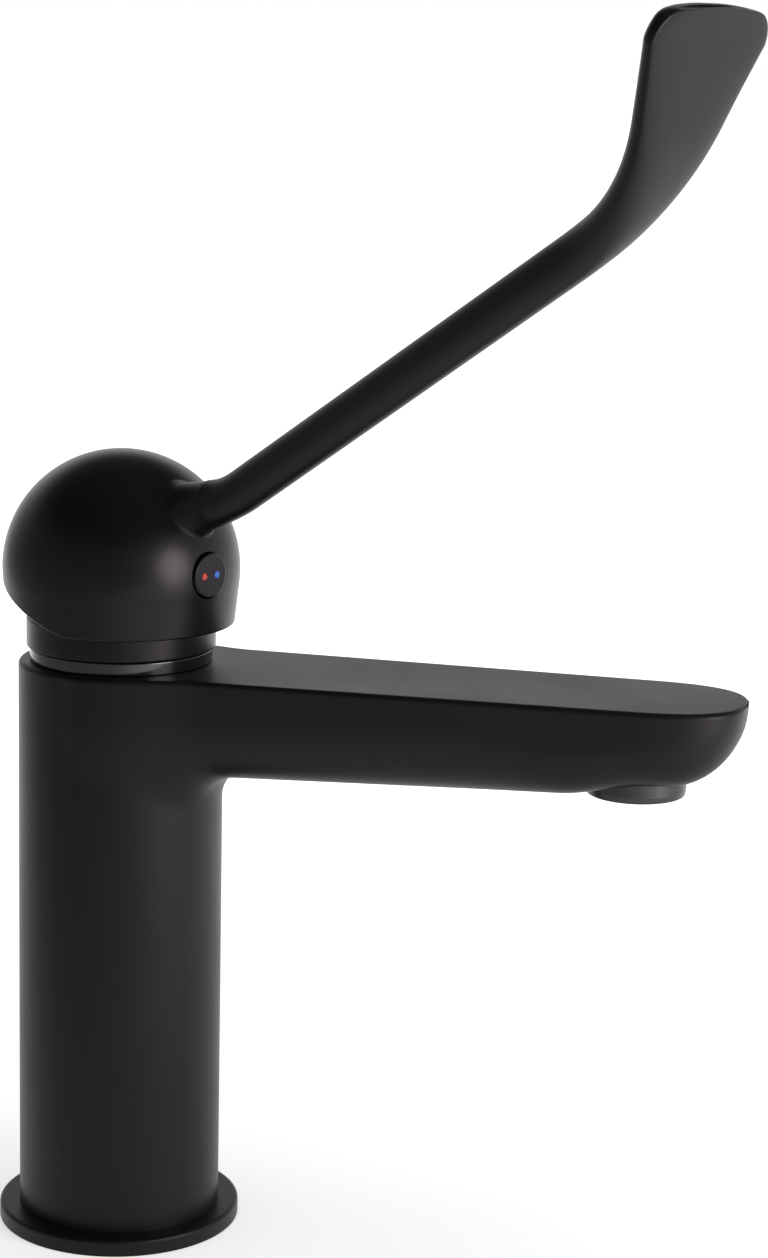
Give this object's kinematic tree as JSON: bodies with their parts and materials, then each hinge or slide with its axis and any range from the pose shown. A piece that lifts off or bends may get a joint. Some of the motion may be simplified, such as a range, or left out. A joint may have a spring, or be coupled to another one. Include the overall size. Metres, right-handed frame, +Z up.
{
  "type": "elbow lever tap",
  "caption": "Deck-mounted basin mixer tap: a round column, a long flat-topped spout and an elbow lever whose slim bent arm rises from a domed head to a wide paddle.",
  "frame": {"origin": "on the column's axis at the underside of the base ring, which is the deck's top", "axes": "+X along the spout, +Y to the cold side, +Z up"},
  "size_m": [0.1728, 0.1096, 0.3381],
  "materials": {
    "satin_black": "satin black coating on brass",
    "black_chrome": "polished dark chrome plating",
    "brass": "turned",
    "steel": "bright",
    "rubber": "matt",
    "ceramic": "lapped",
    "white_plastic": "moulded",
    "dark_plastic": "moulded",
    "hot_red": "enamelled dot",
    "cold_blue": "enamelled dot"
  },
  "bodies": {
    "tap_body": {"base_ring": "satin_black", "base_seal": "rubber", "body": "satin_black", "aerator_housing": "satin_black", "aerator_insert": "white_plastic", "aerator_screen": "steel", "aerator_washer": "rubber", "cartridge_base": "white_plastic", "inlet_seals": "rubber", "disc_gasket": "rubber", "fixed_disc": "ceramic", "cartridge_housing": "white_plastic", "housing_seal": "rubber", "cartridge_nut": "brass", "trim_ring": "black_chrome", "cover_collar": "satin_black", "fixing_stud": "steel", "clamp_gasket": "rubber", "clamp_plate": "steel", "stud_nut": "brass"},
    "swivel": {"rotor": "white_plastic", "stem_pin": "steel"},
    "disc": {"moving_disc": "ceramic", "disc_carrier": "dark_plastic"},
    "lever": {"stem": "brass", "lever_head": "satin_black", "lever_arm": "satin_black", "grub_screw": "steel", "indicator_cap": "satin_black", "hot_mark": "hot_red", "cold_mark": "cold_blue"}
  },
  "joints": [
    {"name": "lever_turn", "type": "hinge", "parent": "tap_body", "child": "swivel", "pos_m": [0, 0, 0.12605], "axis": [0, 0, 1], "range_deg": [-25, 75]},
    {"name": "lever_lift", "type": "hinge", "parent": "swivel", "child": "lever", "pos_m": [0, 0, 0.12605], "axis": [-0.4226, -0.9063, 0], "range_deg": [0, 22]},
    {"name": "disc_slide", "type": "slide", "parent": "swivel", "child": "disc", "axis": [0.9063, -0.4226, 0], "range_m": [0, 0.0031]}
  ],
  "couplings": [
    {"joint": "disc_slide", "follows": "lever_lift", "m_per_rad": 0.008}
  ]
}
